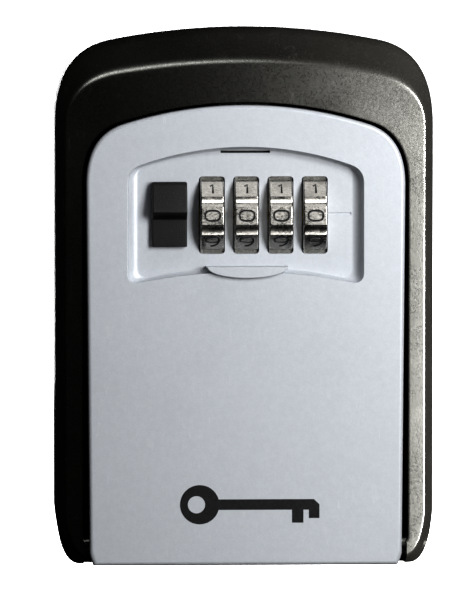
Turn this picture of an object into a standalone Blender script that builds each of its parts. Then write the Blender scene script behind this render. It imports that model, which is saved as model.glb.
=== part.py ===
"""Wall-mounted key lock box with four number dials, as an assembly of separate pieces.

The back of the case is the plane y = 0, the front faces -Y, and +Z is up.  The origin is the
centre of the back face.  Shapes are worked out in millimetres, with the depth in front of the
wall called f (so y = -f), and are turned into metres when an object is finished.
"""

from math import cos, pi, radians, sin, sqrt

import bmesh
import bpy
from mathutils import Matrix, Vector

MM = 0.001          # metres in a millimetre
GAP = 0.3           # clearance between pieces that touch

# ---- Case ----
CASE_HALF_WIDTH = 41.5
CASE_TOP = 59.0
CASE_BOTTOM = -59.0
CASE_FRONT = 32.5
CASE_BACK_WALL = 3.5
CASE_FLOOR_TOP = -55.0
CASE_FLOOR_FRONT = 21.6      # the floor ends here, so that the door can swing
CASE_TOP_ARC = 151.0         # radius of the arched top
LEG_INSIDE = 35.3
LIP_BACK = 27.2              # rear side of the front lip over the door
OPENING_HALF_WIDTH = 35.65
OPENING_TOP = 42.55
OPENING_ARC = 88.7
CAVITY_DRAFT = 0.3
LATCH_POCKET_X = 11.0
LATCH_POCKET_F = 14.0
LATCH_POCKET_TOP = 47.2
BACK_POCKET = [(13.5, 45.8), (32.0, 45.8), (32.0, 48.6), (27.0, 51.0), (13.5, 53.6)]
BACK_POCKET_DEPTH = 21.0
MOUNT_HOLE_RADIUS = 2.75
MOUNT_HOLES = [(-24.0, 26.0), (24.0, 26.0), (-24.0, -36.0), (24.0, -36.0)]
# depth, then how far the outline is drawn in at the sides, the top and the feet
CASE_STATIONS = [
    (0.0, 0.5, 0.5, 0.5),
    (0.5, 0.0, 0.0, 0.0),
    (24.0, 0.0, 0.0, 0.0),
    (26.6, 0.2, 0.6, 0.2),
    (29.4, 0.8, 2.7, 0.8),
    (31.5, 2.0, 6.2, 1.8),
]

# ---- Strike plate in the latch pocket ----
STRIKE = {"x": 9.9, "f": (25.4, 26.9), "z": (42.6, 46.6)}
STRIKE_LIP = {"x": 5.6, "z": (42.0, 43.6)}
STRIKE_SCREW_X = 7.6
STRIKE_SCREW_Z = 44.5
SMALL_SHANK = 0.9            # radius of the small screws' shanks
SMALL_HOLE = SMALL_SHANK + GAP
STRIKE_SCREW_DEPTH = 30.6

# ---- Hinge ----
PIN_F = 27.0
PIN_Z = -54.5
PIN_RADIUS = 1.5
PIN_HALF_LENGTH = 38.4
BARREL_RADIUS = 5.0

# ---- Door ----
DOOR_HALF_WIDTH = 34.9
DOOR_FOOT_HALF_WIDTH = 34.2
DOOR_TOP = 41.9
DOOR_BOTTOM = -58.8
DOOR_ARC = 88.0
DOOR_FRONT = 32.7
DOOR_RIM = 12.5              # rear edge of the door's side walls
DOOR_WALL = 2.2
DOOR_SKIN_BACK = 30.0
MID_WALL = (-1.5, 0.7)       # wall between the mechanism and the key tray, low and high
TRAY_LOW = -49.5
MOON_X = 0.3                 # half-moon ledge under the window
MOON_HALF_WIDTH = 8.95
MOON_TOP = 6.7
MOON_HEIGHT = 2.6
MOON_FRONT = 33.9

# ---- Window in the door ----
WINDOW_FLOOR = 29.7
WINDOW_FLOOR_BACK = 27.3
WINDOW_HALF_WIDTH = 25.75
WINDOW_TOP = 32.75
WINDOW_LOW = 3.1
WINDOW_BOW = 2.4             # how far the bottom edge bows upward
WINDOW_ARC = 69.0
WINDOW_EDGE = 2.4            # width of the sloping wall at the sides
GROOVE_Z = (17.85, 18.35)
GROOVE_END = 23.2
CLIP_SLOT_X = 5.4
CLIP_SLOT_Z = (31.4, 31.9)

# ---- Dials and what they turn on ----
AXIS_F = 24.0
AXIS_Z = 17.8
DIAL_RADIUS = 10.0
DIAL_WIDTH = 5.2
DIAL_PITCH = 7.5
DIAL_CHAMFER = 0.35
FIRST_DIAL_X = -7.3
DIAL_COUNT = 4
DIGITS = 10
FLAT_HALF_ANGLE = 0.197      # half of a digit's flat, seen from the axis
HOLLOW_DEPTH = 0.4          # of the hollow between two flats
DIAL_BORE = 6.0
BORE_NOTCH = 0.9
SHAFT_RADIUS = 2.0
SHAFT_HOLE = SHAFT_RADIUS + GAP
HUB_RADIUS = 5.7
NECK_RADIUS = 3.0
GATE_RADIUS = 3.9
GATE_WIDTH = 0.7
GATE_CLEAR = 28.2            # rear side of the thin webs between the dials
RESET_TRAVEL = 1.0
DIAL_X = [FIRST_DIAL_X + DIAL_PITCH * i for i in range(DIAL_COUNT)]
SLEEVE_HALF = (DIAL_PITCH - GAP) / 2
LEFT_LUG = (-14.8, -12.9)
RIGHT_LUG = (22.0, 24.4)
LUG_BACK = 20.0

# ---- Release ----
RELEASE_TRAVEL = 4.5
BUTTON_X = -16.6
BUTTON_HALF_WIDTH = 3.85
BUTTON_LOW = 10.9
BUTTON_HIGH = 25.1
# side of the button as (depth, height): a low flat below, and a thumb wedge above
BUTTON_SIDE = [
    (30.9, BUTTON_LOW), (31.2, BUTTON_LOW + 0.3), (31.2, 16.9), (31.5, 17.4), (33.3, 18.1),
    (33.6, 18.5), (33.5, 19.1), (31.9, 24.3), (31.4, BUTTON_HIGH),
]
STEM_HALF_WIDTH = 1.5
STEM_LOW = 15.8
STEM_HIGH = 20.2
PLATE_BACK = 23.2
PLATE_FRONT = 24.8
BAR_LOW = 32.7
BAR_HIGH = 35.2
BAR_HALF_LENGTH = 25.6
HOOK_HALF_WIDTH = 5.0
HOOK_TOP = 41.5
FINGER = (0.45, 1.85)        # a finger's sides, counted from its dial's right face
SPRING_X = 23.2
SPRING_SEAT = 24.2
RIB_BACK = 21.5              # rear side of the spring ledges and guide ribs

# ---- Back cover and detent leaf ----
COVER_BACK = 10.9
COVER_FRONT = 12.2
COVER_SCREWS = [(-29.2, 5.5), (29.2, 5.5), (-29.2, 23.6), (29.2, 23.6)]
COVER_SHANK = 1.2
COVER_HOLE = COVER_SHANK + GAP
BOSS_RADIUS = 3.0
COVER_POST_X = 9.0
COVER_POST_Z = 33.9
DETENT_BASE_Z = 4.4
DETENT_SCREW_X = (-3.5, 11.5)
DETENT_BACK = 12.5
DETENT_THICK = 0.4
# a finger of the leaf as (rise, height), with its nose beside the dials' hollows
DETENT_SPINE = [(0.0, 6.0), (0.1, 8.5), (0.35, 12.6), (1.2, 14.4), (0.45, 16.2), (0.1, 19.2)]
LEVER_THICK = 1.3
LEVER_HALF_HEIGHT = 2.6
LEVER_BACK = 8.6

FAR = 60.0                   # past every face, for the ends of cutting shapes


# ---------------------------------------------------------------- materials

def make_material(name, color, metallic, roughness):
    material = bpy.data.materials.new(name)
    material.use_nodes = True
    shader = material.node_tree.nodes["Principled BSDF"]
    shader.inputs["Base Color"].default_value = (*color, 1.0)
    shader.inputs["Metallic"].default_value = metallic
    shader.inputs["Roughness"].default_value = roughness
    material.diffuse_color = (*color, 1.0)
    return material


MATERIAL_LOOKS = {
    "case_paint": ((0.022, 0.022, 0.021), 0.0, 0.45),
    "door_paint": ((0.48, 0.51, 0.55), 0.5, 0.42),
    "dial_metal": ((0.62, 0.60, 0.56), 1.0, 0.32),
    "button_black": ((0.012, 0.012, 0.013), 0.0, 0.5),
    "zinc_steel": ((0.50, 0.50, 0.48), 1.0, 0.35),
    "spring_steel": ((0.42, 0.42, 0.43), 1.0, 0.28),
    "sleeve_brass": ((0.65, 0.47, 0.20), 1.0, 0.35),
    "cover_plastic": ((0.02, 0.02, 0.021), 0.0, 0.6),
    "lever_plastic": ((0.42, 0.05, 0.03), 0.0, 0.5),
    "screw_steel": ((0.35, 0.35, 0.36), 1.0, 0.4),
}


# ---------------------------------------------------------------- shape helpers

def point(x, f, z):
    """A place in the scene's axes, from a width, a depth in front of the wall and a height."""
    return Vector((x, -f, z))


def object_from(bm):
    """A plain object that holds a closed mesh with its faces pointing out."""
    bmesh.ops.recalc_face_normals(bm, faces=bm.faces)
    mesh = bpy.data.meshes.new("shape")
    bm.to_mesh(mesh)
    bm.free()
    thing = bpy.data.objects.new("shape", mesh)
    bpy.context.scene.collection.objects.link(thing)
    return thing


def loft(rings, closed=False):
    """A solid through rings of the same number of points: capped, or joined end to end."""
    bm = bmesh.new()
    loops = [[bm.verts.new(p) for p in ring] for ring in rings]
    count = len(loops[0])
    pairs = list(zip(loops, loops[1:]))
    if closed:
        pairs.append((loops[-1], loops[0]))
    for low, high in pairs:
        for i in range(count):
            j = (i + 1) % count
            bm.faces.new((low[i], low[j], high[j], high[i]))
    if not closed:
        bm.faces.new(loops[0])
        bm.faces.new(loops[-1])
    return object_from(bm)


def plate(outline, back, front):
    """An outline of (x, z) points, extruded from one depth to another."""
    return loft([[point(x, f, z) for x, z in outline] for f in (back, front)])


def bar(outline, left, right):
    """An outline of (f, z) points, extruded along X."""
    return loft([[point(x, f, z) for f, z in outline] for x in (left, right)])


def block(x, f, z):
    """A box between three pairs of limits."""
    return bar([(f[0], z[0]), (f[1], z[0]), (f[1], z[1]), (f[0], z[1])], *x)


def circle(radius, steps, u=0.0, v=0.0):
    return [
        (u + radius * cos(2 * pi * i / steps), v + radius * sin(2 * pi * i / steps))
        for i in range(steps)
    ]


def rod_x(radius, left, right, f, z, steps=24):
    return bar(circle(radius, steps, f, z), left, right)


def rod_f(radius, back, front, x, z, steps=24):
    return plate(circle(radius, steps, x, z), back, front)


def turned_x(profile, f, z, steps=32, bored=False):
    """A profile of (x, radius) points turned about an axis along X."""
    rings = [[point(x, u, v) for u, v in circle(r, steps, f, z)] for x, r in profile]
    return loft(rings, closed=bored)


def turned_f(profile, x, z, steps=20):
    """A profile of (f, radius) points turned about an axis along the depth."""
    return loft([[point(u, f, v) for u, v in circle(r, steps, x, z)] for f, r in profile])


def helix(start, direction, length, radius, wire, turns, steps=12, sides=6):
    """A coil spring: a wire of few sides that runs round an axis, with both ends capped."""
    along = Vector(direction).normalized()
    across = Vector((0, 1, 0))
    up = along.cross(across)
    rings = []
    total = int(turns * steps)
    for i in range(total + 1):
        angle = 2 * pi * i / steps
        radial = across * cos(angle) + up * sin(angle)
        rise = wire + (length - 2 * wire) * i / total
        centre = Vector(start) + along * rise + radial * radius
        ring = []
        for k in range(sides):
            turn = 2 * pi * k / sides
            ring.append(centre + radial * wire * cos(turn) + along * wire * sin(turn))
        rings.append(ring)
    return loft(rings)


def carve(target, tool, operation="DIFFERENCE"):
    """Cuts a tool out of a target, or joins it on, and takes the tool away."""
    modifier = target.modifiers.new("carve", "BOOLEAN")
    modifier.operation = operation
    modifier.solver = "EXACT"
    modifier.object = tool
    graph = bpy.context.evaluated_depsgraph_get()
    graph.update()
    result = bpy.data.meshes.new_from_object(target.evaluated_get(graph))
    target.modifiers.clear()
    target.data = result
    bpy.data.objects.remove(tool)
    return target


def cut(target, *tools):
    for tool in tools:
        carve(target, tool)
    return target


def join(target, *tools):
    for tool in tools:
        carve(target, tool, "UNION")
    return target


def finish(thing, name, material, parent=None, origin=(0.0, 0.0, 0.0), smooth=30.0):
    """Names a piece, puts its origin at a place in millimetres, and turns it into metres."""
    at = point(*origin)
    mesh = thing.data
    mesh.transform(Matrix.Translation(-at))
    mesh.transform(Matrix.Scale(MM, 4))
    mesh.materials.clear()
    mesh.materials.append(MATERIALS[material])
    mesh.shade_smooth()
    mesh.set_sharp_from_angle(angle=radians(smooth))
    mesh.name = name
    thing.name = name
    thing.location = at * MM
    if parent is not None:
        thing.parent = parent
        thing.matrix_parent_inverse = parent.matrix_world.inverted()
    return thing


def joint_empty(name, origin, parent=None):
    """An empty on a joint's axis, which the moving pieces hang from."""
    empty = bpy.data.objects.new(name, None)
    empty.empty_display_size = 0.01
    empty.location = point(*origin) * MM
    bpy.context.scene.collection.objects.link(empty)
    if parent is not None:
        bpy.context.view_layer.update()
        empty.parent = parent
        empty.matrix_parent_inverse = parent.matrix_world.inverted()
    bpy.context.view_layer.update()
    return empty


# ---------------------------------------------------------------- outlines

def bezier(a, b, c, steps):
    """Points after the first on a curve from a to c that is pulled towards b."""
    points = []
    for i in range(1, steps + 1):
        t = i / steps
        points.append(tuple(
            (1 - t) ** 2 * p + 2 * t * (1 - t) * q + t * t * r for p, q, r in zip(a, b, c)
        ))
    return points


def arched(foot, hip, side, top, arc_radius, arc_half, hip_pull=None):
    """The arched outline that the case, the door, the window and the cover share.

    foot is the end of the flat bottom, hip the low end of the side, side its high end, all as
    (x, z) on the right.  The top is an arc, and a soft shoulder joins it to the side.
    """
    sag = arc_radius - sqrt(arc_radius ** 2 - arc_half ** 2)
    slope = arc_half / sqrt(arc_radius ** 2 - arc_half ** 2)
    arc_end = (arc_half, top - sag)
    shoulder = (side[0], arc_end[1] - slope * (side[0] - arc_half))
    pull = hip_pull or (hip[0], foot[1])
    right = [foot] + bezier(foot, pull, hip, 4)
    right += bezier(side, shoulder, arc_end, 7) if side != hip else []
    right.insert(5, side)
    for i in range(1, 6):
        x = arc_half * (1 - i / 6)
        right.append((x, top - arc_radius + sqrt(arc_radius ** 2 - x ** 2)))
    left = [(-x, z) for x, z in reversed(right)]
    return right + [(0.0, top)] + left


def case_outline(side_inset, top_inset, low_inset):
    half = CASE_HALF_WIDTH - side_inset
    foot_z = CASE_BOTTOM + low_inset
    return arched(
        foot=(36.2 - side_inset, foot_z),
        hip=(half, -47.5),
        side=(half, 37.5),
        top=CASE_TOP - top_inset,
        arc_radius=CASE_TOP_ARC,
        arc_half=29.5 - side_inset,
        hip_pull=(half - 0.9, foot_z),
    )


def opening_outline(inset):
    half = OPENING_HALF_WIDTH - inset
    corner = 3.0
    return arched(
        foot=(half - corner, CASE_FLOOR_TOP),
        hip=(half, CASE_FLOOR_TOP + corner),
        side=(half, 24.6),
        top=OPENING_TOP - inset,
        arc_radius=OPENING_ARC,
        arc_half=27.4 - inset,
    )


def door_outline(inset, bottom=None):
    low = DOOR_BOTTOM + inset if bottom is None else bottom
    foot_half = DOOR_FOOT_HALF_WIDTH - inset
    return arched(
        foot=(foot_half - 0.9, low),
        hip=(foot_half, low + 2.6),
        side=(DOOR_HALF_WIDTH - inset, 24.5),
        top=DOOR_TOP - inset,
        arc_radius=DOOR_ARC - inset,
        arc_half=26.8,
        hip_pull=(foot_half - 0.3, low + 1.3),
    )


def window_outline(inset):
    """The sunken window: an arched top like the door's, and a bottom that bows upward."""
    half = WINDOW_HALF_WIDTH - inset
    corner = 2.2
    low = WINDOW_LOW + inset * 0.5
    outline = arched(
        foot=(half - corner, low),
        hip=(half, low + corner),
        side=(half, 24.8 + inset * 0.75),
        top=WINDOW_TOP - inset / 3,
        arc_radius=WINDOW_ARC,
        arc_half=22.8 - inset * 0.17,
    )
    reach = half - corner
    steps = 10
    bottom = [-reach + 2 * reach * i / steps for i in range(1, steps)]
    return outline + [(x, low + WINDOW_BOW * (1 - (x / reach) ** 2)) for x in bottom]


def rings_of(outlines):
    return [[point(x, f, z) for x, z in outline] for f, outline in outlines]


# ---------------------------------------------------------------- case and what stays with it

def build_case():
    outer = [(f, case_outline(side, top, feet)) for f, side, top, feet in CASE_STATIONS]
    inner = [
        (CASE_FRONT, opening_outline(0.0)),
        (LIP_BACK, opening_outline(0.0)),
        (CASE_BACK_WALL, opening_outline(CAVITY_DRAFT)),
    ]
    case = loft(rings_of(outer + inner))
    cut(
        case,
        block((-LEG_INSIDE, LEG_INSIDE), (CASE_FLOOR_FRONT, FAR), (-70.0, CASE_FLOOR_TOP + 4.0)),
        block((-LATCH_POCKET_X, LATCH_POCKET_X), (LATCH_POCKET_F, LIP_BACK), (38.0, LATCH_POCKET_TOP)),
        rod_x(PIN_RADIUS + GAP, -FAR, FAR, PIN_F, PIN_Z),
    )
    for x, z in MOUNT_HOLES:
        cut(case, rod_f(MOUNT_HOLE_RADIUS, -5.0, CASE_BACK_WALL + 5.0, x, z))
    for side in (-1, 1):
        pocket = plate([(side * x, z) for x, z in BACK_POCKET], -5.0, BACK_POCKET_DEPTH)
        screw_x = side * STRIKE_SCREW_X
        thread = rod_f(SMALL_HOLE, LIP_BACK - 1.0, STRIKE_SCREW_DEPTH, screw_x, STRIKE_SCREW_Z, 16)
        cut(case, pocket, thread)
    return case


def build_strike():
    strike = block((-STRIKE["x"], STRIKE["x"]), STRIKE["f"], STRIKE["z"])
    join(strike, block((-STRIKE_LIP["x"], STRIKE_LIP["x"]), STRIKE["f"], STRIKE_LIP["z"]))
    for side in (-1, 1):
        cut(strike, rod_f(SMALL_HOLE, 0.0, FAR, side * STRIKE_SCREW_X, STRIKE_SCREW_Z, 16))
    return strike


def small_screw(head_back, point_front, x, z):
    """A pan-headed screw whose head is at the back and whose point is at the front."""
    seat = head_back + 1.3
    profile = [
        (head_back, 1.2), (head_back + 0.35, 1.8), (seat, 1.8), (seat, SMALL_SHANK),
        (point_front - 0.3, SMALL_SHANK), (point_front, 0.5),
    ]
    return turned_f(profile, x, z)


def build_hinge_pin():
    ends = PIN_HALF_LENGTH
    profile = [(-ends, 1.1), (0.4 - ends, PIN_RADIUS), (ends - 0.4, PIN_RADIUS), (ends, 1.1)]
    return turned_x(profile, PIN_F, PIN_Z, 24)


# ---------------------------------------------------------------- door

def door_blank():
    """The door casting with its edges, barrel, window, mechanism chamber and key tray."""
    door = loft(rings_of([
        (DOOR_RIM, door_outline(0.0)),
        (DOOR_FRONT - 0.9, door_outline(0.0)),
        (DOOR_FRONT - 0.25, door_outline(0.25)),
        (DOOR_FRONT, door_outline(0.9)),
    ]))
    # behind the hinge barrel, and the round heel under it
    barrel_back = PIN_F - BARREL_RADIUS
    behind = [(0.0, -70.0), (barrel_back, -70.0), (barrel_back, PIN_Z + 2.0), (0.0, PIN_Z + 5.0)]
    heel_drop = (PIN_Z - DOOR_BOTTOM) / BARREL_RADIUS
    heel = [(PIN_F, -70.0), (barrel_back - 1.0, -70.0), (barrel_back - 1.0, PIN_Z)]
    for i in range(9):
        angle = pi + (pi / 2) * i / 8
        drop = BARREL_RADIUS * sin(angle) * heel_drop
        heel.append((PIN_F + BARREL_RADIUS * cos(angle), PIN_Z + drop))
    cut(door, bar(behind, -FAR, FAR), bar(heel, -FAR, FAR))
    window = loft(rings_of([
        (WINDOW_FLOOR, window_outline(WINDOW_EDGE)),
        (WINDOW_FLOOR + 0.5, window_outline(WINDOW_EDGE * 0.72)),
        (WINDOW_FLOOR + 1.9, window_outline(WINDOW_EDGE * 0.3)),
        (DOOR_FRONT, window_outline(0.0)),
        (DOOR_FRONT + 2.0, window_outline(-0.2)),
    ]))
    chamber = plate(door_outline(DOOR_WALL, MID_WALL[1]), 0.0, WINDOW_FLOOR_BACK)
    attic = plate([(-18.0, 35.4), (18.0, 35.4), (14.0, 38.0), (-14.0, 38.0)], 20.0, DOOR_SKIN_BACK)
    tray_half = DOOR_FOOT_HALF_WIDTH - DOOR_WALL
    tray = block((-tray_half, tray_half), (0.0, DOOR_SKIN_BACK), (TRAY_LOW, MID_WALL[0]))
    return cut(door, window, chamber, attic, tray)


def moon_outline():
    """The half-moon ledge: flat on top and round below."""
    turns = [pi + pi * i / 12 for i in range(13)]
    return [(MOON_X + MOON_HALF_WIDTH * cos(a), MOON_TOP + MOON_HEIGHT * sin(a)) for a in turns]


def lug_outline():
    """The shaft's lugs from the side, with their rear corners cut off."""
    high = AXIS_Z + 4.0
    low = AXIS_Z - 4.0
    skin = WINDOW_FLOOR_BACK + 0.7
    return [
        (skin, low), (skin, high), (LUG_BACK + 1.5, high), (LUG_BACK, high - 2.0),
        (LUG_BACK, low + 2.0), (LUG_BACK + 1.5, low),
    ]


def build_door():
    door = door_blank()
    skin = WINDOW_FLOOR_BACK + 0.7
    join(door, plate(moon_outline(), WINDOW_FLOOR - 0.5, MOON_FRONT))
    join(door, bar(lug_outline(), *LEFT_LUG), bar(lug_outline(), *RIGHT_LUG))
    for side in (-1, 1):
        ledge_x = sorted((side * (SPRING_X - 2.3), side * (SPRING_X + 2.4)))
        rib_x = sorted((side * (BAR_HALF_LENGTH + 0.4), side * (BAR_HALF_LENGTH + 2.0)))
        ledge = block(ledge_x, (RIB_BACK, skin), (SPRING_SEAT - 1.8, SPRING_SEAT))
        rib = block(rib_x, (RIB_BACK, skin), (27.5, 34.0))
        join(door, ledge, rib)
    for x, z in COVER_SCREWS:
        join(door, rod_f(BOSS_RADIUS, DOOR_RIM, skin, x, z, 20))
    # dial slots, room for the gates, button slot, hook opening, index groove, cover-clip slot
    for x in DIAL_X:
        half = DIAL_WIDTH / 2 + 0.25
        cut(door, rod_x(DIAL_RADIUS + 0.2, x - half, x + half, AXIS_F, AXIS_Z, 48))
    relief_x = (LEFT_LUG[1] + 0.1, DIAL_X[-1] + 5.2)
    slot_low = STEM_LOW - RELEASE_TRAVEL - GAP
    groove_x = (BUTTON_X + BUTTON_HALF_WIDTH + 0.3, GROOVE_END)
    hook = HOOK_HALF_WIDTH + 0.6
    cut(
        door,
        block(relief_x, (LUG_BACK, GATE_CLEAR), (8.0, 27.6)),
        block((BUTTON_X - 1.9, BUTTON_X + 1.9), (LUG_BACK, DOOR_FRONT), (slot_low, STEM_HIGH + GAP)),
        block((-hook, hook), (PLATE_BACK - 0.6, PLATE_FRONT + 0.7), (36.5, 44.0)),
        block(groove_x, (WINDOW_FLOOR - 0.3, DOOR_FRONT), GROOVE_Z),
        block((-CLIP_SLOT_X, CLIP_SLOT_X), (WINDOW_FLOOR - 1.7, WINDOW_FLOOR + 0.9), CLIP_SLOT_Z),
        rod_x(SHAFT_HOLE, LEFT_LUG[0] + 0.6, RIGHT_LUG[1] + 4.0, AXIS_F, AXIS_Z),
        rod_x(PIN_RADIUS + GAP, -FAR, FAR, PIN_F, PIN_Z),
    )
    for x, z in COVER_SCREWS:
        cut(door, rod_f(COVER_HOLE, 0.0, 22.0, x, z, 16))
    return door


def lever_x():
    """The left and right faces of the reset lever, which stands against the first sleeve."""
    right = DIAL_X[0] - SLEEVE_HALF - GAP
    return right - LEVER_THICK, right


def build_cover():
    cover = plate(door_outline(0.5, MID_WALL[0] + 0.2), COVER_BACK, COVER_FRONT)
    for x in (-COVER_POST_X, COVER_POST_X):
        join(cover, rod_f(1.6, COVER_FRONT - 0.5, PLATE_BACK - GAP, x, COVER_POST_Z, 16))
    for x, z in COVER_SCREWS:
        cut(cover, rod_f(COVER_HOLE, 0.0, 20.0, x, z, 16))
    for x in DETENT_SCREW_X:
        join(cover, rod_f(2.2, COVER_BACK - 0.9, COVER_FRONT - 0.4, x, DETENT_BASE_Z, 20))
        cut(cover, rod_f(SMALL_HOLE, 0.0, 20.0, x, DETENT_BASE_Z, 16))
    left, right = lever_x()
    slot_x = (left - 0.4, right + RESET_TRAVEL + 0.4)
    slot_z = (AXIS_Z - LEVER_HALF_HEIGHT - 0.8, AXIS_Z + LEVER_HALF_HEIGHT + 0.8)
    return cut(cover, block(slot_x, (0.0, 20.0), slot_z))


def cover_screw(x, z):
    """A screw with a cross recess in its head, which is at the back."""
    head = COVER_BACK - GAP - 1.7
    seat = head + 1.7
    profile = [
        (head, 1.8), (head + 0.5, 2.7), (seat, 2.8), (seat, COVER_SHANK),
        (20.5, COVER_SHANK), (21.2, 0.5),
    ]
    screw = turned_f(profile, x, z, 24)
    thin = 0.35
    wide = 1.5
    recess = (head - 1.0, head + 0.8)
    return cut(
        screw,
        block((x - wide, x + wide), recess, (z - thin, z + thin)),
        block((x - thin, x + thin), recess, (z - wide, z + wide)),
    )


def build_detent():
    """A leaf with one finger behind each dial, whose nose lies beside a hollow of the dial."""
    base_x = (DIAL_X[0] - 2.4, DIAL_X[-1] + 2.4)
    base_z = (DETENT_BASE_Z - 2.2, DETENT_BASE_Z + 2.2)
    leaf = block(base_x, (DETENT_BACK, DETENT_BACK + DETENT_THICK), base_z)
    near = [(DETENT_BACK + rise, z) for rise, z in DETENT_SPINE]
    far = [(f + DETENT_THICK, z) for f, z in reversed(near)]
    for x in DIAL_X:
        join(leaf, bar(near + far, x - 1.9, x + 1.9))
    for x in DETENT_SCREW_X:
        cut(leaf, rod_f(SMALL_HOLE, 0.0, 20.0, x, DETENT_BASE_Z, 16))
    return leaf


def shaft_groove():
    """Where the clip's groove starts and ends on the shaft."""
    return RIGHT_LUG[1] + 0.3, RIGHT_LUG[1] + 1.3


def build_shaft():
    groove = shaft_groove()
    start = LEFT_LUG[0] + 0.9
    end = groove[1] + 0.9
    core = 1.5
    profile = [
        (start, 1.6), (start + 0.4, SHAFT_RADIUS), (groove[0], SHAFT_RADIUS), (groove[0], core),
        (groove[1], core), (groove[1], SHAFT_RADIUS), (end - 0.3, SHAFT_RADIUS), (end, 1.6),
    ]
    return turned_x(profile, AXIS_F, AXIS_Z, 24)


def build_clip():
    """A ring with a gap at its rear, which springs into the shaft's groove."""
    groove = shaft_groove()
    left = groove[0] + 0.2
    right = groove[1] - 0.2
    profile = [(left, 1.8), (left, 3.0), (right, 3.0), (right, 1.8)]
    ring = turned_x(profile, AXIS_F, AXIS_Z, 28, bored=True)
    return cut(ring, block((20.0, 30.0), (AXIS_F - 8.0, AXIS_F), (AXIS_Z - 1.1, AXIS_Z + 1.1)))


# ---------------------------------------------------------------- dials and code sleeves

def dial_rim():
    """The rim of a dial: ten flats that carry the digits, with a hollow between each two."""
    points = []
    pitch = 2 * pi / DIGITS
    for n in range(DIGITS):
        middle = n * pitch
        for side in (-1, 1):
            angle = middle + side * FLAT_HALF_ANGLE
            points.append((DIAL_RADIUS * cos(angle), DIAL_RADIUS * sin(angle)))
        for t in (0.22, 0.5, 0.78):
            angle = middle + FLAT_HALF_ANGLE + (pitch - 2 * FLAT_HALF_ANGLE) * t
            radius = DIAL_RADIUS - HOLLOW_DEPTH * sin(pi * t)
            points.append((radius * cos(angle), radius * sin(angle)))
    return points


def dial_bore():
    """The bore of a dial: a notch for each digit, which the tooth of its sleeve fits."""
    points = []
    pitch = 2 * pi / DIGITS
    half_notch = 0.145
    for n in range(DIGITS):
        corners = [(-half_notch, 0.0), (-half_notch, BORE_NOTCH), (half_notch, BORE_NOTCH),
                   (half_notch, 0.0), (pitch / 2, 0.0)]
        for turn, depth in corners:
            angle = n * pitch + turn
            points.append(((DIAL_BORE + depth) * cos(angle), (DIAL_BORE + depth) * sin(angle)))
    return points


def build_dial(x):
    rim = dial_rim()
    bore = dial_bore()
    half = DIAL_WIDTH / 2
    shrink = (DIAL_RADIUS - DIAL_CHAMFER) / DIAL_RADIUS

    def ring(outline, at, scale=1.0):
        return [point(at, AXIS_F + scale * u, AXIS_Z + scale * v) for u, v in outline]

    return loft([
        ring(rim, x - half, shrink),
        ring(rim, x - half + DIAL_CHAMFER),
        ring(rim, x + half - DIAL_CHAMFER),
        ring(rim, x + half, shrink),
        ring(bore, x + half),
        ring(bore, x - half),
    ], closed=True)


def build_sleeve(x):
    """A sleeve on the shaft: a hub with one tooth inside its dial, and a gate beside the dial."""
    hub = (x - 2.4, x + 1.4)
    gate = x + DIAL_WIDTH / 2 + GAP
    left = x - SLEEVE_HALF
    right = x + SLEEVE_HALF
    profile = [
        (left, SHAFT_HOLE), (left, NECK_RADIUS), (hub[0], NECK_RADIUS), (hub[0], HUB_RADIUS),
        (hub[1], HUB_RADIUS), (hub[1], NECK_RADIUS), (gate, NECK_RADIUS), (gate, GATE_RADIUS),
        (gate + GATE_WIDTH, GATE_RADIUS), (gate + GATE_WIDTH, SHAFT_HOLE),
    ]
    sleeve = turned_x(profile, AXIS_F, AXIS_Z, 30, bored=True)
    tooth_f = (AXIS_F + HUB_RADIUS - 1.2, AXIS_F + HUB_RADIUS + 0.8)
    join(sleeve, block(hub, tooth_f, (AXIS_Z - 0.55, AXIS_Z + 0.55)))
    notch_z = (AXIS_Z + GATE_RADIUS - 1.0, AXIS_Z + GATE_RADIUS + 1.0)
    return cut(sleeve, block((gate - 0.1, right + 1.0), (AXIS_F - 1.1, AXIS_F + 1.1), notch_z))


# ---------------------------------------------------------------- reset and release

def build_reset_lever():
    left, right = lever_x()
    collar = [(left, SHAFT_HOLE), (left, GATE_RADIUS), (right, GATE_RADIUS), (right, SHAFT_HOLE)]
    lever = turned_x(collar, AXIS_F, AXIS_Z, 28, bored=True)
    high = AXIS_Z + LEVER_HALF_HEIGHT
    low = AXIS_Z - LEVER_HALF_HEIGHT
    front = AXIS_F - SHAFT_HOLE - 0.5
    arm = [
        (LEVER_BACK + 0.5, low), (front, low), (front, high), (LEVER_BACK + 0.5, high),
        (LEVER_BACK, high - 0.6), (LEVER_BACK, low + 0.6),
    ]
    return join(lever, bar(arm, left, right))


def build_reset_spring():
    start = DIAL_X[-1] + SLEEVE_HALF + GAP
    length = RIGHT_LUG[0] - GAP - start
    return helix(point(start, AXIS_F, AXIS_Z), (1, 0, 0), length, 3.1, 0.25, 2.5, 14)


def latch_outline():
    """The latch plate from the front: a hook on top, four fingers below and an arm on the left."""
    finger_low = AXIS_Z + GATE_RADIUS + 0.4 + RELEASE_TRAVEL
    arm = (BUTTON_X - 2.8, BUTTON_X + 1.4)
    arm_low = STEM_LOW - 0.2
    end = BAR_HALF_LENGTH
    hook = HOOK_HALF_WIDTH
    outline = [(-end, BAR_LOW), (arm[0], BAR_LOW), (arm[0], arm_low), (arm[1], arm_low), (arm[1], BAR_LOW)]
    for x in DIAL_X:
        left, right = (x + DIAL_WIDTH / 2 + side for side in FINGER)
        outline += [(left, BAR_LOW), (left, finger_low), (right, finger_low), (right, BAR_LOW)]
    outline += [(end, BAR_LOW), (end, BAR_HIGH), (hook, BAR_HIGH), (hook, HOOK_TOP - 0.5)]
    outline += [(hook - 0.5, HOOK_TOP), (0.5 - hook, HOOK_TOP), (-hook, HOOK_TOP - 0.5)]
    return outline + [(-hook, BAR_HIGH), (-end, BAR_HIGH)]


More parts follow.
